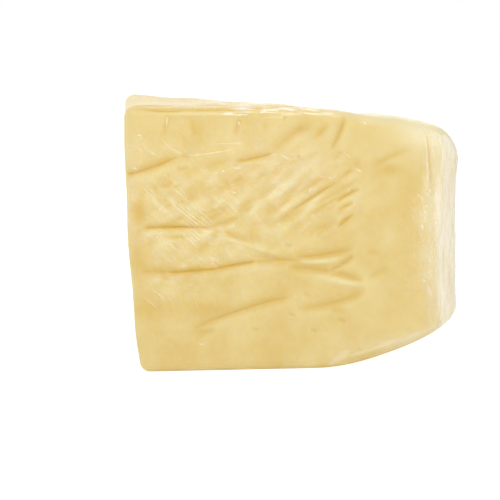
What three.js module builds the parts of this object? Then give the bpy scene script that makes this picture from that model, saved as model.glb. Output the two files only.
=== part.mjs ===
// A block of quesillo, a soft stretched-curd cheese, pulled tight in a clear wrap that creases its skin.
// One end is cut flat and the other is rounded, where the wrap is gathered. Millimetres, +Z up, front to -Y.
import * as THREE from "three";
import { mergeVertices } from "three/addons/utils/BufferGeometryUtils.js";

const { clamp, lerp, smoothstep, seededRandom } = THREE.MathUtils;

// Plain block: a box whose edges get rounder from the cut end to the round end, less so at the base, measured
// before its ends, top and underside are shaped
const LENGTH = 164.4;
const DEPTH = 88;
const HEIGHT = 144.5;
const CUT_EDGE_RADIUS = 5;
const ROUND_EDGE_RADIUS = 14.1;
const BASE_ROUNDING = 0.48;
const ROUNDING_START = 0.55;

// Top: the front edge is level up to its knee and then falls, the back edge falls all the way
const FRONT_FALL = 14.4;
const FRONT_KNEE = 0.5;
const FRONT_FALL_POWER = 1.43;
const BACK_FALL = 12.4;
const BACK_DIP = 3.9;
const BACK_DIP_PLACE = 0.7;
const BACK_DIP_WIDTH = 0.12;
const BACK_SHOULDER = 34;
const BACK_SHOULDER_START = 0.8;
const BACK_SHOULDER_POWER = 2.38;

// Underside: a flat base from the cut end to past the centre of mass, then curling up
const CURL = 19.6;
const CURL_START = 0.6;
const CURL_POWER = 1.67;

// Ends and front: the cut end leans out at its top and at its back, the round end bulges, the front has a
// soft belly
const CUT_LEAN = 5.8;
const CUT_LEAN_POWER = 3;
const CUT_SKEW = 2;
const BULGE_TOP = 22.6;
const BULGE_BASE = 20.9;
const BULGE_START = 0.5;
const CORNER_SETBACK = 7;
const CORNER_SETBACK_START = 0.65;
const BELLY = 2;

// Grid that carries the form: finer on the front half, with its layers crowded towards the edges
const COLUMNS = 60;
const ROWS = 48;
const LAYERS = 10;
const LAYER_CROWDING = 0.75;

// Creases: a pinched groove with a soft lip to each side
const CREASE_WIDTH = 2.8;
const CREASE_STEPS = 40;
const CREASE_TAPER = 0.6;
const LIP_SHARE = 0.3;
const LIP_SPREAD = 2.3;

// Slow swells of the whole skin, which fade out towards the flat base
const SWELL_HEIGHT = 0.3;
const SWELL_LENGTHS = [33, 41, 58, 76];
const SWELL_FADE_LOW = 3;
const SWELL_FADE_HIGH = 25;
const SEED = 17;

// Faces: the two axes that a crease is drawn in, and the way that the face looks out
const FACES = {
  front: { across: "x", up: "z", out: new THREE.Vector3(0, -1, 0) },
  back: { across: "x", up: "z", out: new THREE.Vector3(0, 1, 0) },
  top: { across: "x", up: "y", out: new THREE.Vector3(0, 0, 1) },
  cutEnd: { across: "y", up: "z", out: new THREE.Vector3(-1, 0, 0) },
  roundEnd: { across: "y", up: "z", out: new THREE.Vector3(1, 0, 0) },
};

// Long folds of the front, running in from the cut end; places are from the cut end and from the base
const LONG_FOLDS = [
  { from: [-6, 108], to: [27.5, 119], bow: -1.5, depth: 1.9 },
  { from: [41, 111], to: [96.5, 134.5], bow: -4, depth: 1.5 },
  { from: [6.5, 81.5], to: [52, 82.5], bow: 0.3, depth: 2.3 },
  { from: [46, 80.5], to: [79.5, 65.5], bow: 0, depth: 1.1 },
  { from: [3.5, 56], to: [69.5, 62.5], bow: -1, depth: 2 },
  { from: [87.5, 63.5], to: [120, 70.5], bow: -1.8, depth: 1.5 },
  { from: [87.5, 57.5], to: [122, 64.5], bow: -5, depth: 1.4 },
  { from: [113, 59.5], to: [141.5, 56], bow: -7, depth: 1.4 },
  { from: [33, 24], to: [88.5, 43], bow: 1.8, depth: 1.7 },
  { from: [87.5, 36], to: [130, 45], bow: -3.2, depth: 1.2 },
];

// Fan of short slanting wrinkles on the upper right of the front
const FAN_WRINKLES = [
  { from: [85.5, 87.5], to: [119, 112], bow: 0.7, depth: 1.8 },
  { from: [83.5, 95], to: [105, 108], bow: 0.6, depth: 1 },
  { from: [96.5, 78.5], to: [111, 89.5], bow: -0.4, depth: 1 },
  { from: [102, 90.5], to: [118, 104], bow: -0.3, depth: 0.8 },
  { from: [111, 91.5], to: [124, 101], bow: 0.9, depth: 1.4 },
  { from: [112, 85.5], to: [122, 94], bow: 0, depth: 1.1 },
  { from: [112, 79.5], to: [122, 87.5], bow: 0, depth: 1.2 },
  { from: [128, 113], to: [152.5, 123], bow: 0.5, depth: 1 },
  { from: [98.5, 124], to: [108, 135.5], bow: 0.4, depth: 1.1 },
  { from: [107, 120], to: [116, 139.5], bow: -0.5, depth: 1.8 },
  { from: [65, 102], to: [77.5, 111], bow: 0.5, depth: 0.8 },
];

// Upright tucks under the top edge, the crease along that edge and the one down the round end's corner
const TUCK_PLACES = [24, 36, 60, 73];
const TUCK_TOP = 140;
const TUCK_LENGTH = 12;
const TUCK_DEPTH = 0.9;
const EDGE_CREASES = [
  { from: [6.5, 143.5], to: [65, 143.5], bow: 0, depth: 1.3 },
  { from: [160.5, 131.5], to: [163.5, 91.5], bow: 1, depth: 1.6 },
];

// Folds of the other sides: how many, the middle of each, its slant and its depth
const OTHER_FOLDS = {
  back: { count: 14, across: [10, 150], up: [22, 120], slant: 0.5, depth: [0.9, 2] },
  top: { count: 5, across: [25, 140], up: [-20, 26], slant: 1.2, depth: [0.4, 0.9] },
  cutEnd: { count: 5, across: [-26, 26], up: [25, 120], slant: 0.6, depth: [0.6, 1.2] },
  roundEnd: { count: 7, across: [-22, 22], up: [45, 110], slant: 1.3, depth: [0.3, 0.7] },
};
const OTHER_LENGTHS = [16, 48];
const OTHER_BOW = 3;

// Box grid with sides from -1 to 1. Behind the middle every second line is drawn onto its neighbour and
// the triangles that close up are dropped, so the back takes a quarter of the triangles of the front.
function makeGrid() {
  const box = new THREE.BoxGeometry(2, 2, 2, COLUMNS, LAYERS, ROWS);
  box.deleteAttribute("normal");
  box.deleteAttribute("uv");
  const places = box.getAttribute("position");
  const snap = (value, count) => Math.floor(Math.round((value + 1) * count / 2) / 2) * 4 / count - 1;
  for (let i = 0; i < places.count; i += 1) {
    const layer = places.getY(i);
    if (layer > 1 / LAYERS) {
      places.setX(i, snap(places.getX(i), COLUMNS));
      places.setZ(i, snap(places.getZ(i), ROWS));
    }
    places.setY(i, Math.sign(layer) * Math.abs(layer) ** LAYER_CROWDING);
  }
  const grid = mergeVertices(box);
  const index = grid.getIndex();
  const kept = [];
  for (let i = 0; i < index.count; i += 3) {
    const corners = [index.getX(i), index.getX(i + 1), index.getX(i + 2)];
    if (new Set(corners).size === 3) {
      kept.push(...corners);
    }
  }
  grid.setIndex(kept);
  return grid;
}

// How far a share of the length has run past a start, from 0 there to 1 at the far end
function past(share, start) {
  return Math.max(0, (share - start) / (1 - start));
}

// Place of a grid point on the smooth block, with the cut end at X = 0 and the base at Z = 0
function smoothForm(point) {
  const half = new THREE.Vector3(LENGTH, DEPTH, HEIGHT).multiplyScalar(0.5);
  const tightening = lerp(BASE_ROUNDING, 1, smoothstep(point.z, -1, 1));
  const rounding = smoothstep(point.x / 2 + 0.5, ROUNDING_START, 1) * tightening;
  const radius = lerp(CUT_EDGE_RADIUS, ROUND_EDGE_RADIUS, rounding);
  const inner = half.clone().subScalar(radius);
  const place = point.clone().multiply(half);
  const core = place.clone().clamp(inner.clone().negate(), inner);
  place.sub(core).setLength(radius).add(core);

  const along = place.x / LENGTH + 0.5;
  const deep = place.y / DEPTH + 0.5;
  const up = place.z / HEIGHT + 0.5;

  const frontTop = HEIGHT - FRONT_FALL * past(along, FRONT_KNEE) ** FRONT_FALL_POWER;
  const dip = BACK_DIP * Math.exp(-(((along - BACK_DIP_PLACE) / BACK_DIP_WIDTH) ** 2));
  const shoulder = BACK_SHOULDER * past(along, BACK_SHOULDER_START) ** BACK_SHOULDER_POWER;
  const backTop = HEIGHT - BACK_FALL * along - dip - shoulder;
  const top = lerp(frontTop, backTop, smoothstep(deep, 0, 1));
  const base = CURL * past(along, CURL_START) ** CURL_POWER;
  const z = lerp(base, top, up);

  const lean = CUT_LEAN * clamp(1 - z / HEIGHT, 0, 1) ** CUT_LEAN_POWER;
  const skew = CUT_SKEW * deep * (1 - along);
  const bulge = lerp(BULGE_BASE, BULGE_TOP, smoothstep(up, 0, 1)) * (1 - (2 * deep - 1) ** 2);
  const setback = CORNER_SETBACK * past(along, CORNER_SETBACK_START) ** 2;
  const belly = BELLY * Math.sin(Math.PI * along) * Math.sin(Math.PI * up);
  return new THREE.Vector3(
    along * LENGTH + lean - skew + bulge * smoothstep(along, BULGE_START, 1),
    place.y + (setback - belly) * (1 - deep),
    z,
  );
}

// A crease follows a bowed line between two places of one face
function makeCrease(face, { from, to, bow, depth }) {
  const start = new THREE.Vector2(...from);
  const end = new THREE.Vector2(...to);
  const way = end.clone().sub(start).normalize();
  const pull = start.clone().add(end).multiplyScalar(0.5);
  pull.add(new THREE.Vector2(-way.y, way.x).multiplyScalar(2 * bow));
  const spots = new THREE.QuadraticBezierCurve(start, pull, end).getPoints(CREASE_STEPS);
  return { ...FACES[face], spots, depth };
}

// Draw between two limits, the same in every run
function draw([low, high]) {
  return lerp(low, high, seededRandom());
}

function makeOtherFolds(face, { count, across, up, slant, depth }) {
  return Array.from({ length: count }, () => {
    const middle = new THREE.Vector2(draw(across), draw(up));
    const turn = draw([-slant, slant]);
    const reach = new THREE.Vector2(Math.cos(turn), Math.sin(turn)).multiplyScalar(draw(OTHER_LENGTHS) / 2);
    return makeCrease(face, {
      from: middle.clone().sub(reach).toArray(),
      to: middle.clone().add(reach).toArray(),
      bow: draw([-OTHER_BOW, OTHER_BOW]),
      depth: draw(depth),
    });
  });
}

// Height of one crease's relief at a place of the skin
function creaseRelief(crease, place, normal) {
  const facing = smoothstep(normal.dot(crease.out), 0.25, 0.75);
  if (facing === 0) {
    return 0;
  }
  const spot = new THREE.Vector2(place[crease.across], place[crease.up]);
  const gaps = crease.spots.map((step) => step.distanceTo(spot));
  const gap = Math.min(...gaps);
  const taper = Math.sin(Math.PI * gaps.indexOf(gap) / CREASE_STEPS) ** CREASE_TAPER;
  const groove = (1 + LIP_SHARE) * Math.exp(-((gap / CREASE_WIDTH) ** 2));
  const lip = LIP_SHARE * Math.exp(-((gap / CREASE_WIDTH / LIP_SPREAD) ** 2));
  return facing * taper * crease.depth * (lip - groove);
}

// Height of the slow swells at a place of the skin
function swellRelief(place, swells) {
  const fade = smoothstep(place.z, SWELL_FADE_LOW, SWELL_FADE_HIGH);
  const sum = swells.reduce((height, { wave, start }) => height + Math.sin(wave.dot(place) + start), 0);
  return SWELL_HEIGHT * fade * sum;
}

seededRandom(SEED);
const tucks = TUCK_PLACES.map((place) => ({
  from: [place, TUCK_TOP],
  to: [place - draw([0, 4]), TUCK_TOP - TUCK_LENGTH],
  bow: 0,
  depth: TUCK_DEPTH,
}));
const creases = [...LONG_FOLDS, ...FAN_WRINKLES, ...tucks, ...EDGE_CREASES]
  .map((line) => makeCrease("front", line));
for (const [face, folds] of Object.entries(OTHER_FOLDS)) {
  creases.push(...makeOtherFolds(face, folds));
}
const swells = SWELL_LENGTHS.map((length) => ({
  wave: new THREE.Vector3(draw([-1, 1]), draw([-1, 1]), draw([-1, 1])).setLength(2 * Math.PI / length),
  start: draw([0, 2 * Math.PI]),
}));

const skin = makeGrid();
const places = skin.getAttribute("position");
for (let i = 0; i < places.count; i += 1) {
  places.setXYZ(i, ...smoothForm(new THREE.Vector3().fromBufferAttribute(places, i)));
}
skin.computeVertexNormals();
const normals = skin.getAttribute("normal");
for (let i = 0; i < places.count; i += 1) {
  const place = new THREE.Vector3().fromBufferAttribute(places, i);
  const normal = new THREE.Vector3().fromBufferAttribute(normals, i);
  const relief = creases.reduce((sum, crease) => sum + creaseRelief(crease, place, normal), 0);
  places.setXYZ(i, ...place.addScaledVector(normal, relief + swellRelief(place, swells)));
}

// The middle of the base is brought over the origin
skin.computeBoundingBox();
const middle = skin.boundingBox.getCenter(new THREE.Vector3());
skin.translate(-middle.x, -middle.y, -skin.boundingBox.min.z);
skin.computeVertexNormals();

const cheese = new THREE.Mesh(
  skin,
  new THREE.MeshStandardMaterial({ color: "#ead28e", roughness: 0.4, metalness: 0 }),
);
cheese.name = "quesillo_block";

const group = new THREE.Group();
group.name = "quesillo";
group.add(cheese);

export default group;
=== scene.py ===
import math

import bmesh
import bpy
import numpy as np
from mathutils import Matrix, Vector, noise
from mathutils.bvhtree import BVHTree


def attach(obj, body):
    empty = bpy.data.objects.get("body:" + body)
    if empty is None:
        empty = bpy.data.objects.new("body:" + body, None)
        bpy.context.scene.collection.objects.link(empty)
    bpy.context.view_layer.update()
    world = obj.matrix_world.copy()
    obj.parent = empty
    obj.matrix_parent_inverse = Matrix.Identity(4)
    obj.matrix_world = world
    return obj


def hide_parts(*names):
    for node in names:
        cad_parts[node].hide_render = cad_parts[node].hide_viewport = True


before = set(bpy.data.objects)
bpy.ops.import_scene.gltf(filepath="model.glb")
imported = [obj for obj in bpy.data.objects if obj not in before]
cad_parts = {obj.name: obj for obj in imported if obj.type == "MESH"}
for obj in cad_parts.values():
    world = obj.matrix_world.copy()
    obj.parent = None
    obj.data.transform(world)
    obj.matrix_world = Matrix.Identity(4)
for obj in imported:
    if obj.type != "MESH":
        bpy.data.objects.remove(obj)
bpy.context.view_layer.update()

# Cheese block
# Soft stretched-curd cheese, pressed into a tall block and cut flat at one end. The wrap pulled tight round
# it leaves long folds, slanting wrinkles and tucks in its skin, with painted shade of a deeper yellow where
# they pinch.
# Sizes are in millimetres, from the cut end, the middle of the depth and the base.

LENGTH, DEPTH, HEIGHT = 164.4, 88, 144.5
CUT_EDGE_RADIUS, ROUND_EDGE_RADIUS, BASE_ROUNDING, ROUNDING_START = 5, 14.1, 0.48, 0.55
FRONT_FALL, FRONT_KNEE, FRONT_FALL_POWER = 14.4, 0.5, 1.43
BACK_FALL, BACK_DIP, BACK_DIP_PLACE, BACK_DIP_WIDTH = 12.4, 3.9, 0.7, 0.12
BACK_SHOULDER, BACK_SHOULDER_START, BACK_SHOULDER_POWER = 34, 0.8, 2.38
CURL, CURL_START, CURL_POWER = 19.6, 0.6, 1.67
CUT_LEAN, CUT_LEAN_POWER, CUT_SKEW = 5.8, 3, 2
BULGE_TOP, BULGE_BASE, BULGE_START = 22.6, 20.9, 0.5
CORNER_SETBACK, CORNER_SETBACK_START = 7, 0.65
BELLY = 2


def smoothstep(value, low, high):
    share = np.clip((value - low) / (high - low), 0, 1)
    return share * share * (3 - 2 * share)


def lerp(low, high, share):
    return low + (high - low) * share


def past(share, start):
    return np.maximum(0, (share - start) / (1 - start))


def box_grid(columns, layers, rows, crowding):
    """Points on the sides of a box from -1 to 1, crowded towards its front and back, and their quads."""
    counts = np.array((columns, layers, rows))
    sides = []
    for axis in range(3):
        a, b = (axis + 1) % 3, (axis + 2) % 3
        i, j = np.meshgrid(np.arange(counts[a]), np.arange(counts[b]), indexing="ij")
        for end in (0, counts[axis]):
            corners = np.zeros(i.shape + (4, 3), int)
            corners[..., axis] = end
            for n, (step_a, step_b) in enumerate(((0, 0), (1, 0), (1, 1), (0, 1))):
                corners[..., n, a] = i + step_a
                corners[..., n, b] = j + step_b
            if end == 0:
                corners = corners[..., ::-1, :]
            sides.append(corners.reshape(-1, 3))
    places, quads = np.unique(np.concatenate(sides), axis=0, return_inverse=True)
    grid = places * 2 / counts - 1
    grid[:, 1] = np.sign(grid[:, 1]) * np.abs(grid[:, 1]) ** crowding
    return grid, quads.reshape(-1, 4)


def block_form(grid):
    """Places of grid points on the smooth block."""
    half = np.array((LENGTH, DEPTH, HEIGHT)) / 2
    tightening = lerp(BASE_ROUNDING, 1, smoothstep(grid[:, 2], -1, 1))
    rounding = smoothstep(grid[:, 0] / 2 + 0.5, ROUNDING_START, 1) * tightening
    radius = lerp(CUT_EDGE_RADIUS, ROUND_EDGE_RADIUS, rounding)[:, None]
    core = np.clip(grid * half, radius - half, half - radius)
    reach = grid * half - core
    place = core + reach / np.linalg.norm(reach, axis=1, keepdims=True) * radius
    along, deep, up = (place / (2 * half) + 0.5).T

    front_top = HEIGHT - FRONT_FALL * past(along, FRONT_KNEE) ** FRONT_FALL_POWER
    dip = BACK_DIP * np.exp(-(((along - BACK_DIP_PLACE) / BACK_DIP_WIDTH) ** 2))
    shoulder = BACK_SHOULDER * past(along, BACK_SHOULDER_START) ** BACK_SHOULDER_POWER
    back_top = HEIGHT - BACK_FALL * along - dip - shoulder
    top = lerp(front_top, back_top, smoothstep(deep, 0, 1))
    base = CURL * past(along, CURL_START) ** CURL_POWER
    z = lerp(base, top, up)

    lean = CUT_LEAN * np.clip(1 - z / HEIGHT, 0, 1) ** CUT_LEAN_POWER
    skew = CUT_SKEW * deep * (1 - along)
    bulge = lerp(BULGE_BASE, BULGE_TOP, smoothstep(up, 0, 1)) * (1 - (2 * deep - 1) ** 2)
    setback = CORNER_SETBACK * past(along, CORNER_SETBACK_START) ** 2
    belly = BELLY * np.sin(math.pi * along) * np.sin(math.pi * np.clip(up, 0, 1))
    x = along * LENGTH + lean - skew + bulge * smoothstep(along, BULGE_START, 1)
    y = place[:, 1] + (setback - belly) * (1 - deep)
    return np.stack((x, y, z), 1)


def skin_normals(points, faces):
    mesh = bpy.data.meshes.new("skin")
    mesh.from_pydata(points, [], faces)
    normals = np.zeros(points.size)
    mesh.vertex_normals.foreach_get("vector", normals)
    bpy.data.meshes.remove(mesh)
    return normals.reshape(-1, 3)


# Each fold runs from one place of its face to another, with a bow to its left, a depth, the width of the
# soft roll above it, and how sharply it is pinched. Those with a depth below 0 are ridges.
FRONT_FOLDS = (
    (-6, 108, 27.5, 119, -1.5, 2.4, 3.0, 0.85),
    (27.5, 118.5, 33, 118, 0, 0.9, 2.5, 0.4),
    (42, 111.5, 55, 116.5, 0.5, 1.0, 3.0, 0.2),
    (57, 115.5, 78.5, 120.5, -0.5, 2.2, 3.2, 0.9),
    (76.5, 119.5, 97.5, 135, 1.3, 1.9, 4.0, 0.2),
    (6.5, 81, 44.5, 80.8, 0.2, 2.9, 2.6, 1.0),
    (40, 80.6, 61.5, 87.5, -1.2, 1.7, 3.0, 0.35),
    (58, 79, 79.5, 83, 1.3, 0.9, 3.5, 0.2),
    (74.5, 86.2, 90.5, 100.4, 0, 1.1, 3.0, 0.2),
    (47, 79, 67.5, 71.5, 0.4, 1.5, 3.0, 0.2),
    (41, 79.5, 80.5, 65.5, 0, -1.6, 3.0, 0),
    (21, 75.5, 30.5, 75.5, 0, 0.9, 2.0, 0.5),
    (23.5, 73, 26, 69, 0, 0.6, 1.5, 0.3),
    (3.5, 57.5, 25, 56.5, -0.5, 1.5, 3.0, 0.3),
    (15.5, 56, 21.5, 51.5, 0, 0.8, 2.0, 0.4),
    (19, 56.3, 50.5, 58.4, -0.3, 2.6, 2.8, 1.0),
    (45.5, 57.9, 69, 62.2, 0.2, 2.6, 2.8, 1.0),
    (64, 61.6, 92.5, 62.2, 0.5, 1.9, 2.6, 0.6),
    (64, 65, 80, 63.3, -0.2, 1.0, 2.2, 0.3),
    (88, 64.2, 121.5, 68, -1.0, 2.5, 3.2, 0.7),
    (88.5, 61, 113, 62.7, -0.5, -0.8, 2.5, 0),
    (85, 58.6, 110, 55.6, 0.3, 2.2, 2.8, 0.5),
    (108, 55.8, 121.5, 64.8, -1.0, 2.4, 2.4, 0.6),
    (107.5, 56, 127, 50.4, -0.3, 1.8, 2.6, 0.4),
    (129.5, 52.2, 141, 57.2, -0.5, 0.8, 3.0, 0.2),
    (98.8, 54, 133.5, 48.4, -1.6, -0.9, 3.0, 0),
    (127, 66.5, 136, 65.5, -0.3, 0.7, 2.2, 0.3),
    (32.5, 24.5, 88, 42.5, 1.5, 2.6, 3.6, 0.7),
    (32, 24, 46, 24, -1.2, 0.8, 2.0, 0.2),
    (35, 19, 47, 24.5, 0.6, 0.7, 2.0, 0.2),
    (89.5, 35.8, 128.5, 45, -3.0, 2.2, 3.2, 0.4),
    (108, 35, 117, 32.5, 0, 0.6, 2.0, 0.2),
    (85.5, 87.5, 113, 105.3, 0.5, 2.0, 1.9, 0.8),
    (111, 104.3, 121, 111.3, 0.4, 1.3, 1.9, 0.6),
    (128, 110.5, 152.5, 121.6, 0.9, 1.1, 2.5, 0.4),
    (85.5, 95, 108, 108.5, 0.5, 1.2, 1.9, 0.5),
    (97, 90.9, 122.5, 105.1, -0.4, 0.9, 1.9, 0.35),
    (94.5, 85.5, 118.5, 99.9, -0.3, 1.0, 1.9, 0.35),
    (110.5, 93.2, 123.5, 100.3, 0.4, 1.8, 1.7, 0.8),
    (112, 88.5, 120.5, 93.5, 0.2, 1.2, 1.6, 0.7),
    (111.8, 79.4, 120.5, 87.2, 0, 1.7, 1.6, 0.8),
    (94.5, 77.4, 112, 83, -0.4, 1.0, 3.0, 0.3),
    (100, 75, 106, 80, 0, 0.7, 2.0, 0.2),
    (129, 113.5, 135, 116.5, 0, 0.6, 2.0, 0.2),
    (99, 126, 107, 134.5, 0.3, 1.3, 2.4, 0.5),
    (108, 121, 115.5, 139, -0.5, 2.3, 1.8, 0.6),
    (108.5, 115.5, 113.5, 120.5, 0, 0.9, 1.8, 0.3),
    (86.5, 128.7, 96.5, 132.6, 0.3, 1.1, 2.6, 0.4),
    (89, 117, 91.5, 118.5, 0, 0.7, 1.5, 0.3),
    (61, 108, 72.5, 115, 0.3, 0.7, 2.5, 0.1),
    (64, 102, 76.5, 111, 0.3, 0.8, 2.5, 0.1),
    (68.5, 95, 80.5, 104, 0.3, 0.8, 2.5, 0.1),
    (26, 111, 33, 112.5, 0, 0.8, 1.8, 0.3),
    (16.5, 101.5, 24.5, 104.5, 0, 0.9, 2.0, 0.3),
    (54.5, 103.5, 61, 106.5, 0, 0.9, 2.0, 0.3),
    (52, 100.5, 59, 103.5, 0, 0.7, 2.0, 0.3),
    (38, 99.5, 47, 102.5, 0, 0.7, 2.2, 0.2),
    (119, 113, 125, 113, 0, 1.0, 4.0, 0.1),
    (138.5, 110, 144.5, 109.5, 0, 1.1, 2.5, 0.3),
    (22.5, 140, 19.5, 129, 0, 0.9, 1.5, 0.3),
    (35, 138, 36, 128.5, 0, 0.7, 2.5, 0.1),
    (29.5, 129.5, 31, 121.5, 0, 0.4, 2.0, 0),
    (59, 138.5, 57, 129, 0, 1.0, 1.6, 0.4),
    (72.5, 137, 72.5, 131, 0, 0.5, 2.0, 0.1),
    (83.5, 141, 82.5, 136, 0, 0.7, 1.5, 0.3),
    (8.5, 143, 32, 142.8, -0.8, 0.7, 0.4, 1.5),
    (29.5, 142.8, 63, 143, -0.3, 0.6, 0.4, 1.5),
    (8.5, 141.2, 64, 141, -0.4, -0.65, 1.5, 0),
    (160.5, 131.5, 165, 92, 1, 1.0, 1.2, 0.7),
    (161.5, 50, 166.5, 40, 0, 0.9, 2.0, 0.3),
)

# Small pits of the front, each a short fold that falls towards the round end
PITS = ((87.5, 32), (113, 42), (115, 28), (99.5, 23), (95.5, 43), (85.5, 70.5), (67.5, 24))
PIT_LENGTH, PIT_FALL, PIT_DEPTH, PIT_ROLL, PIT_PINCH = 5, 1.5, 0.8, 1.2, 0.3

# The other sides: how many folds, the limits of their middles, their slant and their depth
OTHER_FOLDS = {
    "back": (14, (10, 150), (22, 120), 0.5, (0.9, 2.0)),
    "top": (5, (25, 140), (-20, 26), 1.2, (0.4, 0.9)),
    "cut end": (5, (-26, 26), (25, 120), 0.6, (0.6, 1.2)),
    "round end": (7, (-22, 22), (45, 110), 1.3, (0.3, 0.7)),
}
OTHER_LENGTHS, OTHER_BOW, OTHER_ROLL, OTHER_PINCH = (16, 48), 3, 3.0, 0.7

# Shorter folds of those sides, and faint wrinkles of the front: how many, the limits of their middles, of
# their slant, length and depth, and the width of their roll
SMALL_FOLDS = (
    ("back", 34, (18, 148), (62, 122), (0.4, 0.9), (6, 22), (0.6, 1.6), 2.4),
    ("back", 6, (12, 110), (124, 133), (1.4, 1.8), (6, 22), (0.6, 1.6), 2.4),
    ("top", 9, (15, 140), (-30, 28), (-0.5, 0.5), (6, 22), (0.6, 1.6), 2.4),
    ("cut end", 12, (-30, 30), (20, 128), (0.2, 0.9), (6, 22), (0.6, 1.6), 2.4),
    ("round end", 12, (-26, 26), (30, 108), (1.3, 1.8), (6, 22), (0.6, 1.6), 2.4),
    ("front", 20, (50, 98), (86, 117), (0.5, 0.8), (6, 14), (0.3, 0.7), 1.6),
    ("front", 6, (14, 46), (86, 106), (0.2, 0.6), (5, 10), (0.3, 0.7), 1.6),
)
SMALL_PINCHES = (0.3, 0.8)
TUCK_COUNT, TUCK_LEAN = 4, 4

# The two axes along which each side's places are measured, and the way it faces
FACES = {
    "front": (0, 2, (0, -1, 0)),
    "back": (0, 2, (0, 1, 0)),
    "top": (0, 1, (0, 0, 1)),
    "cut end": (1, 2, (-1, 0, 0)),
    "round end": (1, 2, (1, 0, 0)),
}
SIDE_FACING, FULL_FACING, ON_SIDE = (0.25, 0.75), (0.5, 0.9), 0.99
SEED, WORD, DRAW_STEP = 17, 0xFFFFFFFF, 0x6D2B79F5
CREASE_STEPS, CREASE_TAPER, CREASE_REACH, FOLD_SHARE = 24, 0.8, 16, 0.62
PINCH_SHARE, PINCH_ABOVE, PINCH_BELOW, ROLL_BELOW = 0.65, 0.8, 0.7, 0.6
LIP_SHARE, LIP_DROP, LIP_WIDTH = 0.15, 3.0, 2.6
# Painted shade of the folds: the depth at which it is full, the width of its line at the pinch, and its
# share over the roll
FOLD_SHADE_DEPTH, FOLD_SHADE_WIDTH, ROLL_SHADE = 0.8, 0.9, 0.5
FINE_REACHES = (2.6, 1.3)
SWELL_HEIGHT, SWELL_LENGTHS, SWELL_FADE = 0.3, (33, 41, 58, 76), (3, 25)

draw_state = SEED


def draw(low, high):
    """The next draw between two limits, the same in every run and the same as the solid's."""
    global draw_state
    draw_state = (draw_state + DRAW_STEP) & WORD
    t = draw_state
    t = ((t ^ t >> 15) * (t | 1)) & WORD
    t ^= (t + (t ^ t >> 7) * (t | 61)) & WORD
    return low + (high - low) * ((t ^ t >> 14) & WORD) / (WORD + 1)


# The solid makes a first draw, and one for each of its tucks, before those for its other sides
draw(0, 1)
for _ in range(TUCK_COUNT):
    draw(0, TUCK_LEAN)
folds = [("front", *row) for row in FRONT_FOLDS]
for x, z in PITS:
    start, end = (x - PIT_LENGTH / 2, z + PIT_FALL / 2), (x + PIT_LENGTH / 2, z - PIT_FALL / 2)
    folds.append(("front", *start, *end, 0, PIT_DEPTH, PIT_ROLL, PIT_PINCH))
for face, (count, across, up, slant, depths) in OTHER_FOLDS.items():
    for _ in range(count):
        middle = np.array((draw(*across), draw(*up)))
        turn = draw(-slant, slant)
        reach = np.array((math.cos(turn), math.sin(turn))) * draw(*OTHER_LENGTHS) / 2
        bow, depth = draw(-OTHER_BOW, OTHER_BOW), draw(*depths)
        folds.append((face, *(middle - reach), *(middle + reach), bow, depth, OTHER_ROLL, OTHER_PINCH))
fold_seed = np.random.default_rng(SEED)
for face, count, across, up, slants, lengths, depths, roll in SMALL_FOLDS:
    for _ in range(count):
        middle = np.array((fold_seed.uniform(*across), fold_seed.uniform(*up)))
        slant = fold_seed.uniform(*slants)
        reach = np.array((math.cos(slant), math.sin(slant))) * fold_seed.uniform(*lengths) / 2
        depth, pinch = fold_seed.uniform(*depths), fold_seed.uniform(*SMALL_PINCHES)
        folds.append((face, *(middle - reach), *(middle + reach), 0, depth, roll, pinch))

# Small lumps slant up towards the round end, in two patches of each broad face: middle, reach and height
LUMP_LENGTH, LUMP_WIDTH, LUMP_SLANT = 13, 4.5, math.radians(36)
# Share of painted shade in the hollows between lumps, and the least patch height that is worked out
LUMP_HOLLOW_SHADE, LUMP_LEAST = 0.7, 0.01
LUMP_PATCHES = (((80, 97), (36, 20), 1.15), ((28, 78), (28, 30), 0.8))

# Deeper yellow places of the front: middle, reach and strength
DEEP_PATCHES = (
    ((44, 35), (13, 6), 0.5),
    ((16.5, 36), (14, 6), 0.35),
    ((5.5, 61.5), (5, 7), 0.45),
    ((65, 76.5), (5, 7), 0.35),
    ((6.5, 89.5), (4, 9), 0.7),
    ((5, 68), (3.5, 12), 0.4),
    ((139.5, 110), (7, 3), 0.45),
    ((122, 113), (6, 3), 0.25),
    ((150.5, 74.5), (6, 30), 0.15),
)

# Deeper yellow over the top by the cut end, and painted shade along the edge of the base where it turns
# under
UNDERSIDE_SHADE, EDGE_START, EDGE_END = 0.95, (0.7, 0.85), (-0.99, -0.9)
TOP_TINT, TOP_TINT_FADE = 0.15, (40, 110)

# Painted highlight where the skin stands proud, partly the paler stretched skin, and at the top corner by
# the round end: middle, reach and strength
PROUD_HEIGHT = 0.6
CORNER_HIGHLIGHT = ((160, 133), (18, 13), 1.2)

swells = []
for length in SWELL_LENGTHS:
    wave = np.array((draw(-1, 1), draw(-1, 1), draw(-1, 1)))
    swells.append((wave / np.linalg.norm(wave) * 2 * math.pi / length, draw(0, 2 * math.pi)))


def bowed_line(start, end, bow, steps=CREASE_STEPS):
    start, end = np.array(start, float), np.array(end, float)
    way = (end - start) / np.linalg.norm(end - start)
    pull = (start + end) / 2 + 2 * bow * np.array((-way[1], way[0]))
    t = np.linspace(0, 1, steps + 1)[:, None]
    return (1 - t) ** 2 * start + 2 * t * (1 - t) * pull + t * t * end


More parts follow.
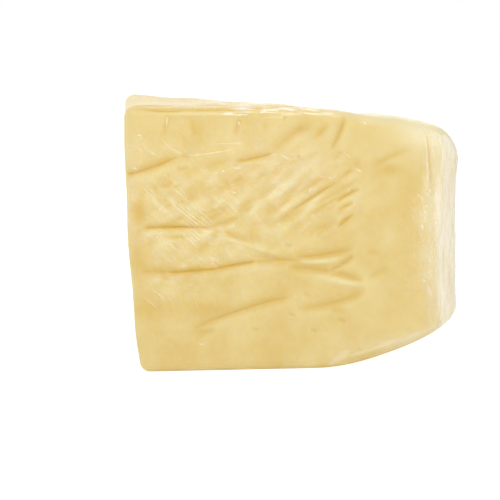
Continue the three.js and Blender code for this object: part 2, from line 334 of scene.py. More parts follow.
def measure_from(line, spots):
    """How far spots are from a line, positive on its left, and the share of its length that they are at."""
    run = line[1:] - line[:-1]
    share = ((spots[:, None] - line[:-1]) * run).sum(2) / (run**2).sum(1)
    share = np.clip(share, 0, 1)
    gap = spots[:, None] - line[:-1] - share[..., None] * run
    length = np.linalg.norm(gap, axis=2)
    nearest = length.argmin(1)
    spot = np.arange(len(spots))
    gap, run = gap[spot, nearest], run[nearest]
    side = np.sign(run[:, 0] * gap[:, 1] - run[:, 1] * gap[:, 0])
    return length[spot, nearest] * side, (nearest + share[spot, nearest]) / CREASE_STEPS


def patch(spots, middle, reach):
    return np.exp(-(((spots - np.array(middle)) / np.array(reach)) ** 2).sum(1))


def refine_folds(grid, quads):
    """A grid whose cells are halved near each fold, and halved again at its pinch."""
    cells = bmesh.new()
    corners = [cells.verts.new(place) for place in grid.tolist()]
    for quad in quads.tolist():
        cells.faces.new([corners[n] for n in quad])
    for reach in FINE_REACHES:
        cells.verts.index_update()
        grid = np.array([spot.co for spot in cells.verts])
        points = block_form(grid)
        close = np.zeros(len(grid), bool)
        for face, x0, z0, x1, z1, bow, *_ in folds:
            across, up, out = FACES[face]
            line = bowed_line((x0, z0), (x1, z1), bow)
            spots = points[:, (across, up)]
            inside = np.all((spots > line.min(0) - reach) & (spots < line.max(0) + reach), axis=1)
            near = np.flatnonzero(inside & (grid @ np.array(out) > ON_SIDE))
            close[near] |= np.abs(measure_from(line, spots[near])[0]) < reach
        edges = [edge for edge in cells.edges if all(close[spot.index] for spot in edge.verts)]
        bmesh.ops.subdivide_edges(cells, edges=edges, cuts=1, use_grid_fill=True)
    cells.verts.index_update()
    grid = np.array([spot.co for spot in cells.verts])
    faces = [[spot.index for spot in face.verts] for face in cells.faces]
    cells.free()
    return grid, faces


def skin_relief(points, normals):
    """Height of the skin over the smooth block, and each point's painted shade and deeper yellow, and
    painted highlight.
    """
    relief, painted_shade_and_deep_yellow = np.zeros(len(points)), np.zeros(len(points))
    for face, x0, z0, x1, z1, bow, depth, roll, pinch in folds:
        across, up, out = FACES[face]
        line = bowed_line((x0, z0), (x1, z1), bow)
        spots = points[:, (across, up)]
        facing = smoothstep(normals @ np.array(out), *SIDE_FACING)
        inside = np.all((spots > line.min(0) - CREASE_REACH) & (spots < line.max(0) + CREASE_REACH), axis=1)
        near = np.flatnonzero(inside & (facing > 0))
        gap, share = measure_from(line, spots[near])
        strength = FOLD_SHARE * depth * facing[near] * np.sin(math.pi * share) ** CREASE_TAPER
        soft = np.exp(-((gap / np.where(gap > 0, roll, roll * ROLL_BELOW)) ** 2))
        sharp = np.exp(-np.abs(gap) / np.where(gap > 0, PINCH_ABOVE, PINCH_BELOW))
        groove = lerp(soft, sharp, pinch * np.where(gap > 0, PINCH_SHARE, 1))
        lip = LIP_SHARE * np.exp(-(((gap + LIP_DROP) / LIP_WIDTH) ** 2))
        relief[near] += strength * (lip - groove)
        # Painted shade, a deeper yellow, at each fold's pinch and more softly over its roll
        line_shade = np.maximum(pinch * np.exp(-((gap / min(FOLD_SHADE_WIDTH, roll)) ** 2)), ROLL_SHADE * soft)
        painted_shade_and_deep_yellow[near] = np.maximum(painted_shade_and_deep_yellow[near], np.minimum(1, strength / FOLD_SHADE_DEPTH) * line_shade)
    spots = points[:, (0, 2)]
    lumpy = sum(height * patch(spots, middle, reach) for middle, reach, height in LUMP_PATCHES)
    lumpy *= smoothstep(np.abs(normals[:, 1]), *FULL_FACING)
    turn, rise = math.cos(LUMP_SLANT), math.sin(LUMP_SLANT)
    for n in np.flatnonzero(lumpy > LUMP_LEAST):
        x, y, z = points[n]
        spot = ((x * turn + z * rise) / LUMP_LENGTH, (z * turn - x * rise) / LUMP_WIDTH, np.sign(y))
        lump = lumpy[n] * noise.noise(spot)
        relief[n] += lump
        # Painted shade in the hollows between lumps
        painted_shade_and_deep_yellow[n] = max(painted_shade_and_deep_yellow[n], -LUMP_HOLLOW_SHADE * lump)
    middle, reach, strength = CORNER_HIGHLIGHT
    # Painted highlight where the skin stands raised, partly its paler stretched skin, and at the top corner
    # by the round end
    proud_highlight = np.clip(np.maximum(relief / PROUD_HEIGHT, strength * patch(spots, middle, reach)), 0, 1)
    swell = sum(np.sin(points @ wave + start) for wave, start in swells)
    relief += SWELL_HEIGHT * swell * smoothstep(points[:, 2], *SWELL_FADE)

    facing = smoothstep(-normals[:, 1], *SIDE_FACING)
    for middle, reach, strength in DEEP_PATCHES:
        painted_shade_and_deep_yellow = np.maximum(painted_shade_and_deep_yellow, strength * facing * patch(spots, middle, reach))
    top = smoothstep(normals[:, 2], *FULL_FACING) * (1 - smoothstep(points[:, 0], *TOP_TINT_FADE))
    # Painted shade on the underside along the edge of the base
    underside_shade = smoothstep(-normals[:, 2], *EDGE_START) * smoothstep(normals[:, 2], *EDGE_END)
    painted_shade_and_deep_yellow = np.maximum(painted_shade_and_deep_yellow, np.maximum(TOP_TINT * top, UNDERSIDE_SHADE * underside_shade))
    return relief, painted_shade_and_deep_yellow, proud_highlight


def make_object(name, points, faces, attributes):
    """A smooth mesh object from places in metres."""
    mesh = bpy.data.meshes.new(name)
    mesh.from_pydata(points, [], faces)
    mesh.shade_smooth()
    for key, values in attributes.items():
        mesh.attributes.new(key, "FLOAT", "POINT").data.foreach_set("value", values.astype(np.float32))
    made = bpy.data.objects.new(name, mesh)
    bpy.context.collection.objects.link(made)
    return made


CHEESE_GRID = (120, 28, 96)
LAYER_CROWDING = 0.75
grid, faces = refine_folds(*box_grid(*CHEESE_GRID, LAYER_CROWDING))
smooth_skin = block_form(grid)
normals = skin_normals(smooth_skin, faces)
relief, cheese_shade_and_deep_yellow, proud_highlight = skin_relief(smooth_skin, normals)
cheese_skin = smooth_skin + normals * relief[:, None]

# The cheese stands where the solid does, over the middle of its box
to_frame = np.append((cheese_skin.min(0)[:2] + cheese_skin.max(0)[:2]) / -2, 0)
MM = 0.001
BASE_GAP = 0.1
cheese_points = cheese_skin + to_frame
cheese_points[:, 2] = np.maximum(cheese_points[:, 2], BASE_GAP)
# The fold share holds painted shade of the folds, lump hollows and underside, with the deeper yellow places
skin_shares = {"fold": np.clip(cheese_shade_and_deep_yellow, 0, 1), "proud_highlight": proud_highlight}
cheese = make_object("cheese_block", cheese_points * MM, faces, skin_shares)

CHEESE_PALE = (0.70, 0.575, 0.275, 1)
CHEESE_DEEP = (0.66, 0.505, 0.195, 1)
CHEESE_SHADE_AND_DEEP_YELLOW = (0.60, 0.385, 0.06, 1)
CHEESE_PROUD_HIGHLIGHT = (0.725, 0.63, 0.335, 1)

CURD_FINISH = {
    "Roughness": 0.45,
    "IOR": 1.4,
    "Specular IOR Level": 0.25,
    "Subsurface Weight": 0.8,
    "Subsurface Radius": (1.0, 0.75, 0.4),
    "Subsurface Scale": 0.0008,
}
CURD_PATCHES = {"Scale": 45, "Detail": 5, "Roughness": 0.6}, {"From Min": 0.35, "From Max": 0.65}
CURD_GRAIN = {"Scale": 260, "Detail": 4, "Strength": 0.4, "Distance": 0.0006}

# Fine unevenness of a surface, for the curd and for the film
uneven_skin = bpy.data.node_groups.new("uneven_skin", "ShaderNodeTree")
uneven_skin.interface.new_socket("Place", in_out="INPUT", socket_type="NodeSocketVector")
for label in ("Scale", "Detail", "Strength", "Distance"):
    uneven_skin.interface.new_socket(label, in_out="INPUT", socket_type="NodeSocketFloat")
uneven_skin.interface.new_socket("Normal", in_out="OUTPUT", socket_type="NodeSocketVector")
entry = uneven_skin.nodes.new("NodeGroupInput").outputs
result = uneven_skin.nodes.new("NodeGroupOutput").inputs
grain = uneven_skin.nodes.new("ShaderNodeTexNoise")
bump = uneven_skin.nodes.new("ShaderNodeBump")
uneven_skin.links.new(entry["Place"], grain.inputs["Vector"])
for node, label in ((grain, "Scale"), (grain, "Detail"), (bump, "Strength"), (bump, "Distance")):
    uneven_skin.links.new(entry[label], node.inputs[label])
uneven_skin.links.new(grain.outputs["Fac"], bump.inputs["Height"])
uneven_skin.links.new(bump.outputs["Normal"], result["Normal"])


def new_material(name):
    material = bpy.data.materials.new(name)
    material.use_nodes = True
    return material, material.node_tree.nodes, material.node_tree.links


def set_inputs(node, values):
    for label, value in values.items():
        node.inputs[label].default_value = value


def add_unevenness(nodes, links, place, values):
    uneven = nodes.new("ShaderNodeGroup")
    uneven.node_tree = uneven_skin
    set_inputs(uneven, values)
    links.new(place, uneven.inputs["Place"])
    return uneven.outputs["Normal"]


def cloudy_mask(nodes, links, place, cloud, limits):
    """Soft noise at places of the surface, spread between two limits."""
    clouds = nodes.new("ShaderNodeTexNoise")
    set_inputs(clouds, cloud)
    links.new(place, clouds.inputs["Vector"])
    spread = nodes.new("ShaderNodeMapRange")
    set_inputs(spread, limits)
    links.new(clouds.outputs["Fac"], spread.inputs["Value"])
    return spread.outputs["Result"]


def read_share(nodes, name):
    """A share that the mesh holds for each of its points."""
    share = nodes.new("ShaderNodeAttribute")
    share.attribute_name = name
    return share.outputs["Fac"]


material, nodes, links = new_material("cheese_curd")
shader = nodes["Principled BSDF"]
set_inputs(shader, CURD_FINISH)
place = nodes.new("ShaderNodeTexCoord").outputs["Object"]
curd = nodes.new("ShaderNodeMix")
curd.data_type = "RGBA"
curd.inputs["A"].default_value = CHEESE_DEEP
curd.inputs["B"].default_value = CHEESE_PALE
links.new(cloudy_mask(nodes, links, place, *CURD_PATCHES), curd.inputs["Factor"])
# Painted highlight from the proud share
highlighted = nodes.new("ShaderNodeMix")
highlighted.data_type = "RGBA"
highlighted.inputs["B"].default_value = CHEESE_PROUD_HIGHLIGHT
links.new(read_share(nodes, "proud_highlight"), highlighted.inputs["Factor"])
links.new(curd.outputs["Result"], highlighted.inputs["A"])
# Painted shade, a deeper yellow, from the fold share
shaded_and_deepened = nodes.new("ShaderNodeMix")
shaded_and_deepened.data_type = "RGBA"
shaded_and_deepened.inputs["B"].default_value = CHEESE_SHADE_AND_DEEP_YELLOW
links.new(read_share(nodes, "fold"), shaded_and_deepened.inputs["Factor"])
links.new(highlighted.outputs["Result"], shaded_and_deepened.inputs["A"])
links.new(shaded_and_deepened.outputs["Result"], shader.inputs["Base Color"])
links.new(add_unevenness(nodes, links, place, CURD_GRAIN), shader.inputs["Normal"])
cheese.data.materials.append(material)
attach(cheese, "root")
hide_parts("quesillo_block")

# Clear wrap
# Thin clear film drawn tight over the whole block. It bridges the pinch of each fold, and at the round end
# it is gathered in crumpled layers that turn it milky, with painted sheen over the top and where it is seen
# at a slant.

FILM_GRID = (150, 56, 120)
FILM_GAP, FILM_DIP = 0.3, 0.6
HAZE_EDGE, HAZE_BEND, HAZE_MIDDLE, HAZE_REACH = 165.5, 4.5, 80, 50
HAZE_SPREAD, HAZE_RUN, HAZE_THIN = 3, 13, 0.5
HAZE_GRAIN, HAZE_DRIFT = 7, 1.5
HAZE_OFF_TOP = (0.4, 0.8)
GATHER_SIZE, GATHER_HEIGHT, GATHER_SHARPNESS = (7, 7, 45), 1.4, 2.5
# Painted reflection over the top: how white the film is painted from the cut end to the round end, over
# which run, and for which facing
TOP_SHEENS, TOP_SHEEN_RUN, TOP_SHEEN_FACING = (0.0, 0.13), (10, 90), (0.3, 0.8)

# Thin veils where the film lies double over the front, the first partly a painted highlight at the top
# corner by the round end: middle, reach and share
VEILS = (
    ((160, 133), (16, 12), 0.22),
    ((84, 113), (24, 14), 0.1),
    ((3, 100), (4, 25), 0.1),
    ((150, 14), (25, 5), 0.12),
)
VEIL_FACING = (0.2, 0.6)

# Crinkled places of the front, whitened with painted glints: middle, reach and share
CRINKLE_AND_GLINT_PATCHES = (((35, 85), (45, 45), 0.8), ((95, 100), (35, 30), 0.5), ((161, 75), (6, 45), 0.8))

film_grid, film_quads = box_grid(*FILM_GRID, LAYER_CROWDING)
film_form = block_form(film_grid)
film_normals = skin_normals(film_form, film_quads.tolist())
film_relief, film_shade_and_deep_yellow, _ = skin_relief(film_form, film_normals)
drift = HAZE_DRIFT * np.array([noise.noise(spot) for spot in (film_form / HAZE_GRAIN).tolist()])
haze_edge = HAZE_EDGE + HAZE_BEND * ((film_form[:, 2] - HAZE_MIDDLE) / HAZE_REACH) ** 2
beyond = film_form[:, 0] + drift - haze_edge
haze = lerp(HAZE_THIN * smoothstep(beyond, -HAZE_RUN, 0), 1, smoothstep(beyond, 0, HAZE_SPREAD))
haze *= 1 - smoothstep(film_normals[:, 2], *HAZE_OFF_TOP)
waver = np.array([noise.noise(spot) for spot in (film_form / np.array(GATHER_SIZE)).tolist()])
gather_lift = GATHER_HEIGHT * haze * np.maximum(0, 1 - GATHER_SHARPNESS * np.abs(waver))
film_lift = np.maximum(film_relief, film_relief * FILM_DIP) + FILM_GAP + gather_lift
film_points = film_form + film_normals * film_lift[:, None] + to_frame
film_points[:, 2] = np.maximum(film_points[:, 2], 0)
front_spots = film_form[:, (0, 2)]
veil_and_sheen = sum(share * patch(front_spots, middle, reach) for middle, reach, share in VEILS)
veil_and_sheen *= smoothstep(-film_normals[:, 1], *VEIL_FACING)
# Painted reflection where the film faces up
top_sheen = lerp(*TOP_SHEENS, smoothstep(film_form[:, 0], *TOP_SHEEN_RUN))
top_sheen *= smoothstep(film_normals[:, 2], *TOP_SHEEN_FACING)
veil_and_sheen = np.maximum(veil_and_sheen, top_sheen) * (1 - film_shade_and_deep_yellow)
crinkle_and_glint = sum(share * patch(front_spots, middle, reach) for middle, reach, share in CRINKLE_AND_GLINT_PATCHES)
crinkle_and_glint = np.clip(crinkle_and_glint, 0, 1) * (1 - film_shade_and_deep_yellow)
milk_and_sheen_places = {"haze": haze, "veil_and_sheen": veil_and_sheen, "crinkle_and_glint": crinkle_and_glint}
film = make_object("clear_wrap", film_points * MM, film_quads.tolist(), milk_and_sheen_places)

FILM_IOR, FILM_SHINE, FILM_GLOSS = 1.4, 0.1, 0.18
FILM_FINISH = {"Base Color": (0.95, 0.94, 0.90, 1), "Roughness": 0.28}
SPECKLE = 0.35
SPECKLES, SPECKLE_SCALE = ({"Scale": 600, "Detail": 2}, {"To Max": SPECKLE}), (1, 1, 0.5)
HAZE_LIMITS = {"From Min": 0.1 + SPECKLE / 2, "From Max": 0.9 + SPECKLE / 2}
GATHERS = (
    {"Scale": 180, "Detail": 5, "Roughness": 0.6, "Distortion": 1},
    {"From Min": 0.3, "From Max": 0.7, "To Min": 0.3, "To Max": 0.6},
)
GATHER_SCALE = (1, 1, 0.2)
# Painted sheen: the gathered film is whitened more where it is seen at a slant
SLANT_SHEEN = {"From Max": 0.5, "To Min": 0.55}
STRETCH_GLINTS = {"Scale": 700, "Detail": 2}, {"From Min": 0.5, "From Max": 0.75, "To Max": 0.18}
STRETCH_SLANT, STRETCH_SCALE = (0, math.radians(43), 0), (7, 1, 1)
BLOTCHES = (
    {"Scale": 170, "Detail": 4, "Roughness": 0.55},
    {"From Min": 0.45, "From Max": 0.75, "To Max": 0.2},
)
FILM_RIPPLE = {"Scale": 160, "Detail": 2, "Strength": 0.25, "Distance": 0.0005}


def combine(nodes, links, operation, *terms):
    """A sum or product of terms, each a number or what another node puts out."""
    node = nodes.new("ShaderNodeMath")
    node.operation = operation
    for socket, term in zip(node.inputs, terms):
        if isinstance(term, float):
            socket.default_value = term
        else:
            links.new(term, socket)
    return node.outputs["Value"]


def mix_shaders(nodes, links, share, first, second):
    mix = nodes.new("ShaderNodeMixShader")
    links.new(share, mix.inputs["Fac"])
    links.new(first, mix.inputs[1])
    links.new(second, mix.inputs[2])
    return mix.outputs["Shader"]


material, nodes, links = new_material("clear_film")
milk = nodes["Principled BSDF"]
set_inputs(milk, FILM_FINISH)
clear = nodes.new("ShaderNodeBsdfTransparent").outputs["BSDF"]
gloss = nodes.new("ShaderNodeBsdfAnisotropic")
gloss.inputs["Roughness"].default_value = FILM_GLOSS
fresnel = nodes.new("ShaderNodeFresnel")
fresnel.inputs["IOR"].default_value = FILM_IOR
place = nodes.new("ShaderNodeTexCoord").outputs["Object"]

upright = nodes.new("ShaderNodeMapping")
upright.inputs["Scale"].default_value = SPECKLE_SCALE
links.new(place, upright.inputs["Vector"])
speckles = cloudy_mask(nodes, links, upright.outputs["Vector"], *SPECKLES)
hazy = nodes.new("ShaderNodeMapRange")
set_inputs(hazy, HAZE_LIMITS)
links.new(combine(nodes, links, "ADD", speckles, read_share(nodes, "haze")), hazy.inputs["Value"])
drawn = nodes.new("ShaderNodeMapping")
drawn.inputs["Scale"].default_value = GATHER_SCALE
links.new(place, drawn.inputs["Vector"])
gathers = cloudy_mask(nodes, links, drawn.outputs["Vector"], *GATHERS)
# Painted sheen that grows as the film turns away
slant_sheen = nodes.new("ShaderNodeMapRange")
set_inputs(slant_sheen, SLANT_SHEEN)
links.new(nodes.new("ShaderNodeLayerWeight").outputs["Facing"], slant_sheen.inputs["Value"])
gathers_and_slant_sheen = combine(nodes, links, "MULTIPLY", gathers, slant_sheen.outputs["Result"])
veil_and_sheen_share = read_share(nodes, "veil_and_sheen")
milk_and_sheen = combine(nodes, links, "MULTIPLY_ADD", hazy.outputs["Result"], gathers_and_slant_sheen, veil_and_sheen_share)

# Painted glints in slanting stretch lines, with whitened blotches, over the crinkled places
slanted = nodes.new("ShaderNodeMapping")
slanted.vector_type = "TEXTURE"
slanted.inputs["Rotation"].default_value = STRETCH_SLANT
slanted.inputs["Scale"].default_value = STRETCH_SCALE
links.new(place, slanted.inputs["Vector"])
stretch_glints = cloudy_mask(nodes, links, slanted.outputs["Vector"], *STRETCH_GLINTS)
blotches = cloudy_mask(nodes, links, place, *BLOTCHES)
crinkle_glints = combine(nodes, links, "ADD", stretch_glints, blotches)
whitening_and_glints = combine(nodes, links, "MULTIPLY_ADD", crinkle_glints, read_share(nodes, "crinkle_and_glint"), milk_and_sheen)

ripple = add_unevenness(nodes, links, place, FILM_RIPPLE)
for node in (milk, gloss):
    links.new(ripple, node.inputs["Normal"])
layered = mix_shaders(nodes, links, whitening_and_glints, clear, milk.outputs["BSDF"])
shine = combine(nodes, links, "MULTIPLY", fresnel.outputs["Fac"], FILM_SHINE)
glossed = mix_shaders(nodes, links, shine, layered, gloss.outputs["BSDF"])
inside = nodes.new("ShaderNodeNewGeometry").outputs["Backfacing"]
outer = mix_shaders(nodes, links, inside, glossed, clear)
in_shadow = nodes.new("ShaderNodeLightPath").outputs["Is Shadow Ray"]
lit = mix_shaders(nodes, links, in_shadow, outer, clear)
links.new(lit, nodes["Material Output"].inputs["Surface"])
film.data.materials.append(material)
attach(film, "root")

# Pleats and stretch lines of the wrap, painted as highlights
# Where the film is pulled or doubled, fine streaks, thin pleats and bright creases catch the light: painted
# highlights, partly whitened film. Each is a narrow strip of the same film on the wrap, fading out at its
# edges and ends.

# Fine streaks on the front, painted highlights along the stretched film: start, slope down in degrees,
# length, how many, and the step between them
STREAKS = (
    ((2.5, 126), 33, 8, 2, 2.2),
    ((11, 124.5), 34, 11, 2, 1.3),
    ((1.5, 105), 45, 10, 8, 1.5),
    ((8.5, 105.5), 46, 13, 2, 1.6),
    ((9.5, 102.5), 47, 26, 3, 0.9),
    ((16.5, 94.5), 41, 17, 2, 0.9),
    ((23, 103.5), 41, 36, 5, 1.6),
    ((32, 89.5), 40, 12, 5, 1.7),
    ((39, 89), 43, 11, 3, 1.6),
    ((15.5, 80.5), 40, 8, 3, 1.6),
    ((33, 81.5), 42, 12, 4, 1.8),
    ((45, 67), 41, 8, 5, 1.4),
    ((20.5, 57), 45, 14, 3, 1.5),
    ((10.5, 49), 38, 12, 5, 1.6),
)
STREAK_WIDTH, STREAK_SHARE, STREAK_FADE = 0.8, 0.34, (0.4, 1)
STREAK_SHIFT, STREAK_STRETCH, STREAK_BOW = 1.5, (0.7, 1.1), 0.15

# Flecks strewn over the front, painted glints slanting as the streaks do, and upright ones beside the round
# end's
# corner: how many, the limits of their places, and their slope
FLECKS = ((150, (3, 120), (30, 126), 40), (90, (151, 166), (42, 98), 80))
FLECK_TURN, FLECK_LENGTH, FLECK_WIDTH, FLECK_SHARE = 25, (1, 3.5), 0.7, (0.1, 0.35)

# Longer pleats and short bright creases of the front, painted highlights partly of whitened doubled film,
# each from one place to another with a bow
PLEATS = (
    (17.5, 129.5, 31, 119, -1.2),
    (31, 119, 59, 123, -0.5),
    (46, 125, 62.5, 125.5, 0.2),
    (98, 110, 106, 106.5, 0),
    (106, 106.5, 113, 108.5, -0.3),
    (75.5, 118.5, 80, 119.5, 0.2),
    (80, 119.5, 87, 116, 0.2),
    (113.5, 121, 119, 117, 0),
)
PLEAT_WIDTH, PLEAT_SHARE = 0.9, 0.3
GLINTS = (
    (56, 113, 61, 111.5, 0.2),
    (50, 111.5, 51.5, 110.5, 0),
    (54.5, 100.5, 58.5, 98.5, 0.2),
    (22.5, 140, 21.5, 134, -0.2),
    (59.5, 137.5, 59, 134.5, 0),
    (6.5, 130.5, 8.5, 129.5, 0),
    (7, 128.5, 8.5, 128.5, 0),
    (3, 113, 6.5, 112.5, 0),
    (124, 135, 128, 135.5, -0.5),
    (97.5, 101.5, 96, 98.5, 0),
    (118, 101.5, 117.5, 98.5, 0),
    (120.5, 112, 124.5, 109.5, 0),
    (37, 17, 41.5, 16, 0),
)
GLINT_WIDTH, GLINT_SHARE = 1.0, 0.55

# Wider bands of doubled film, partly painted highlights along the top rim and by the round end's corner,
# each with its bow, width and share
BANDS = (
    (2, 144.2, 66, 144.2, 0, 3.0, 0.3),
    (107.5, 3, 121, 12, 0.3, 7.0, 0.25),
    (119, 7.5, 133.5, 11.5, 0.5, 3.5, 0.2),
    (131, 10.5, 147, 16.5, 0.3, 3.5, 0.2),
    (143, 13.5, 167, 21, 0.4, 5.5, 0.25),
    (158.5, 132, 162, 95, 1.0, 1.6, 0.3),
    (159.5, 88, 162, 84.5, 0, 1.4, 0.5),
    (158.5, 80, 160.5, 75, 0, 1.4, 0.5),
    (158.5, 50.5, 163.5, 46, 0, 1.4, 0.4),
    (163, 46.5, 167, 36.5, 0, 1.4, 0.4),
)

# Painted highlights: bright dashes along the rounded top edge of the front, where the film turns over it
RIM_COUNT, RIM_ACROSS, RIM_LENGTH, RIM_POINTS, RIM_OUT = 42, (46, 106), (4, 14), 6, (0, -1, 1)
RIM_WIDTH, RIM_SHARE, RIM_SPREAD = (0.7, 1.6), (0.25, 0.7), 1.1

# Painted glints on the crumples of the gathered film beside the round end's front corner
CRUMPLE_GLINTS, CRUMPLE_GLINT_SHARE = ("round end", 60, (-37, -18), (38, 124), 75), (0.4, 0.9)

# The sides that face away, with painted highlights: the limits of the places of their streaks and flecks,
# how many bundles of streaks and how many flecks they have, and the limits of the streaks' slope
SIDE_LINES = {
    "back": ((8, 148), (18, 126), 16, 150, (32, 48)),
    "cut end": ((-34, 34), (14, 130), 7, 60, (32, 60)),
    "top": ((10, 140), (-34, 34), 7, 60, (15, 45)),
    "round end": ((-30, 30), (24, 118), 12, 260, (60, 120)),
}
BUNDLE_LENGTH, BUNDLE_COUNT, BUNDLE_STEP = (8, 30), (2, 7), (0.9, 1.8)

strip_seed = np.random.default_rng(SEED)
skin_tree = BVHTree.FromPolygons(film_points.tolist(), film_quads.tolist())
strip_points, strip_quads, strip_shares = [], [], []
STRIP_STEP, STRIP_LEAST_STEPS, STRIP_LIFT, CAST = 1.5, 4, 0.12, 300
STRIP_FADE, STRIP_TIP = 0.5, 0.3


def lay_strip(aims, out, width, share):
    """Lays a strip on the wrap, where it is met by looking in from one side through the given places."""
    out = Vector(out).normalized()
    hits = [skin_tree.ray_cast(Vector(aim + to_frame) + out * CAST, -out) for aim in aims]
    if any(hit[0] is None for hit in hits):
        return
    spots = np.array([hit[0] for hit in hits])
    upright = np.array([hit[1] for hit in hits])
    side = np.cross(upright, np.gradient(spots, axis=0))
    side /= np.linalg.norm(side, axis=1, keepdims=True)
    fade = np.sin(np.linspace(0, math.pi, len(spots))) ** STRIP_FADE
    half = side * (width / 2 * lerp(STRIP_TIP, 1, fade))[:, None]
    middle = spots + upright * STRIP_LIFT
    first = sum(len(block) for block in strip_points)
    strip_points.append(np.stack((middle - half, middle, middle + half), 1).reshape(-1, 3))
    strip_shares.append(np.stack((fade * 0, fade * share, fade * 0), 1).ravel())
    for n in range(first, first + 3 * (len(spots) - 1), 3):
        strip_quads.extend(((n, n + 1, n + 4, n + 3), (n + 1, n + 2, n + 5, n + 4)))


def face_strip(face, start, end, bow, width, share):
    across, up, out = FACES[face]
    steps = max(STRIP_LEAST_STEPS, round(math.dist(start, end) / STRIP_STEP))
    aims = np.zeros((steps + 1, 3))
    aims[:, (across, up)] = bowed_line(start, end, bow, steps)
    lay_strip(aims, out, width, share)


def streak_bundle(face, start, slope, length, count, step):
    way = np.array((math.cos(math.radians(slope)), -math.sin(math.radians(slope))))
    for n in range(count):
        beside = n * step * np.array((way[1], -way[0]))
        first = np.array(start) + beside + way * strip_seed.uniform(-STREAK_SHIFT, STREAK_SHIFT)
        last = first + way * length * strip_seed.uniform(*STREAK_STRETCH)
        share = STREAK_SHARE * strip_seed.uniform(*STREAK_FADE)
        face_strip(face, first, last, strip_seed.uniform(-STREAK_BOW, STREAK_BOW), STREAK_WIDTH, share)


def strew_flecks(face, count, across, up, slope, shares=FLECK_SHARE):
    for _ in range(count):
        first = np.array((strip_seed.uniform(*across), strip_seed.uniform(*up)))
        turn = math.radians(strip_seed.normal(slope, FLECK_TURN))
        last = first + strip_seed.uniform(*FLECK_LENGTH) * np.array((math.cos(turn), -math.sin(turn)))
        face_strip(face, first, last, 0, FLECK_WIDTH, strip_seed.uniform(*shares))


for start, slope, length, count, step in STREAKS:
    streak_bundle("front", start, slope, length, count, step)
for count, across, up, slope in FLECKS:
    strew_flecks("front", count, across, up, slope)
for face, (across, up, bundles, flecks, slopes) in SIDE_LINES.items():
    for _ in range(bundles):
        start = (strip_seed.uniform(*across), strip_seed.uniform(*up))
        slope, length = strip_seed.uniform(*slopes), strip_seed.uniform(*BUNDLE_LENGTH)
        count, step = strip_seed.integers(*BUNDLE_COUNT), strip_seed.uniform(*BUNDLE_STEP)
        streak_bundle(face, start, slope, length, count, step)
    strew_flecks(face, flecks, across, up, sum(slopes) / 2)
for x0, z0, x1, z1, bow in PLEATS:
    face_strip("front", (x0, z0), (x1, z1), bow, PLEAT_WIDTH, PLEAT_SHARE)
for x0, z0, x1, z1, bow in GLINTS:
    face_strip("front", (x0, z0), (x1, z1), bow, GLINT_WIDTH, GLINT_SHARE)
for x0, z0, x1, z1, bow, width, share in BANDS:
    face_strip("front", (x0, z0), (x1, z1), bow, width, share)

for _ in range(RIM_COUNT):
    first = strip_seed.uniform(*RIM_ACROSS)
    across = np.linspace(first, first + strip_seed.uniform(*RIM_LENGTH), RIM_POINTS)
    fall = FRONT_FALL * past(across / LENGTH, FRONT_KNEE) ** FRONT_FALL_POWER
    aims = np.stack((across, np.full(RIM_POINTS, -DEPTH / 2), HEIGHT - fall), 1)
    aims[:, 1:] += strip_seed.normal(0, RIM_SPREAD)
    lay_strip(aims, RIM_OUT, strip_seed.uniform(*RIM_WIDTH), strip_seed.uniform(*RIM_SHARE))

strew_flecks(*CRUMPLE_GLINTS, CRUMPLE_GLINT_SHARE)

pleat_points = np.concatenate(strip_points) * MM
pleat_highlights = make_object("wrap_pleat_highlights", pleat_points, strip_quads, {"share": np.concatenate(strip_shares)})

HIGHLIGHT_FINISH = {"Base Color": (0.98, 0.95, 0.86, 1), "Roughness": 0.3}
# Painted highlights, partly whitened doubled film, on the wrap's strips
material, nodes, links = new_material("whitened_film_highlights")
highlight_white = nodes["Principled BSDF"]
set_inputs(highlight_white, HIGHLIGHT_FINISH)
clear = nodes.new("ShaderNodeBsdfTransparent").outputs["BSDF"]
whitening_and_glints = mix_shaders(nodes, links, read_share(nodes, "share"), clear, highlight_white.outputs["BSDF"])
in_shadow = nodes.new("ShaderNodeLightPath").outputs["Is Shadow Ray"]
lit = mix_shaders(nodes, links, in_shadow, whitening_and_glints, clear)
links.new(lit, nodes["Material Output"].inputs["Surface"])
pleat_highlights.data.materials.append(material)
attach(pleat_highlights, "root")

# Floor and light
# A pale floor that runs out to a white room, with large soft lights in front and behind and weaker ones at
# the sides and above, as for a product picture.

WHITE = (1, 1, 1, 1)
FLOOR_SIZE, FLOOR_GLOW, FLOOR_BOUNCE = 6.0, 0.5, 0.31
FLOOR_FINISH = {"Base Color": (0.7, 0.7, 0.7, 1), "Roughness": 0.8, "Emission Color": WHITE}
bpy.ops.mesh.primitive_plane_add(size=FLOOR_SIZE)
floor = bpy.context.object
floor.name = "floor"
material, nodes, links = new_material("pale_floor")
pale = nodes["Principled BSDF"]
set_inputs(pale, FLOOR_FINISH)
seen = nodes.new("ShaderNodeLightPath").outputs["Is Camera Ray"]
glow = combine(nodes, links, "MULTIPLY_ADD", seen, FLOOR_GLOW, FLOOR_BOUNCE)
links.new(glow, pale.inputs["Emission Strength"])
floor.data.materials.append(material)

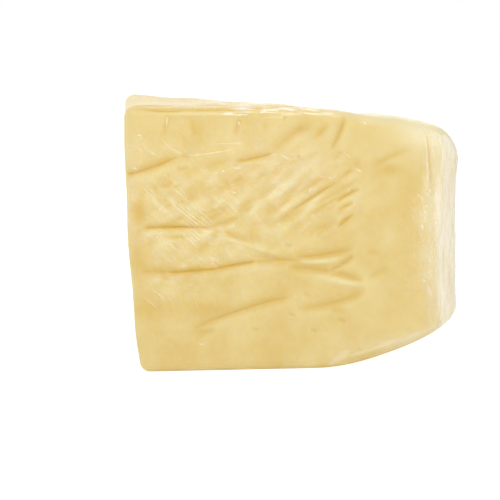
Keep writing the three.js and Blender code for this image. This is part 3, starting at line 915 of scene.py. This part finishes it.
ROOM_LIGHT = 0.53
world = bpy.data.worlds.new("white_room")
world.use_nodes = True
nodes, links = world.node_tree.nodes, world.node_tree.links
lighting = nodes["Background"]
set_inputs(lighting, {"Color": WHITE, "Strength": ROOM_LIGHT})
backdrop = nodes.new("ShaderNodeBackground")
backdrop.inputs["Color"].default_value = WHITE
seen = nodes.new("ShaderNodeLightPath").outputs["Is Camera Ray"]
room = mix_shaders(nodes, links, seen, lighting.outputs["Background"], backdrop.outputs["Background"])
links.new(room, nodes["World Output"].inputs["Surface"])
bpy.context.scene.world = world
bpy.context.scene.view_settings.view_transform = "Standard"

# Each light's place, size and power
LIGHT_AIM = Vector((0, 0, 0.07))
SOFT_LIGHTS = (
    ("light_front", (-0.15, -0.75, 0.65), 0.6, 5.05),
    ("light_right", (0.7, -0.35, 0.35), 0.4, 0.95),
    ("light_left", (-0.8, 0.25, 0.35), 0.5, 1.6),
    ("light_above", (0.05, 0.1, 0.9), 0.6, 0.6),
    ("light_behind", (0.05, 1.1, 0.45), 1.2, 5.0),
)
for name, spot, size, power in SOFT_LIGHTS:
    lamp = bpy.data.lights.new(name, "AREA")
    lamp.size = size
    lamp.energy = power
    light = bpy.data.objects.new(name, lamp)
    light.location = spot
    light.rotation_euler = (LIGHT_AIM - Vector(spot)).to_track_quat("-Z", "Y").to_euler()
    bpy.context.collection.objects.link(light)

# Camera
# A long lens looks at the broad front from a little to the left and above, so that the top just shows,
# and the rounded end turns away at the right.

CAMERA_TURN, CAMERA_RISE = math.radians(-4), math.radians(12)
CAMERA_AIM = Vector((-0.0269, -0.029, 0.065))
CAMERA_DISTANCE = 0.6597
CAMERA_LENS = 86.9
camera_data = bpy.data.cameras.new("camera")
camera_data.lens = CAMERA_LENS
camera = bpy.data.objects.new("camera", camera_data)
back = Vector(
    (
        math.sin(CAMERA_TURN) * math.cos(CAMERA_RISE),
        -math.cos(CAMERA_TURN) * math.cos(CAMERA_RISE),
        math.sin(CAMERA_RISE),
    )
)
camera.location = CAMERA_AIM + back * CAMERA_DISTANCE
camera.rotation_euler = back.to_track_quat("Z", "Y").to_euler()
bpy.context.collection.objects.link(camera)
bpy.context.scene.camera = camera
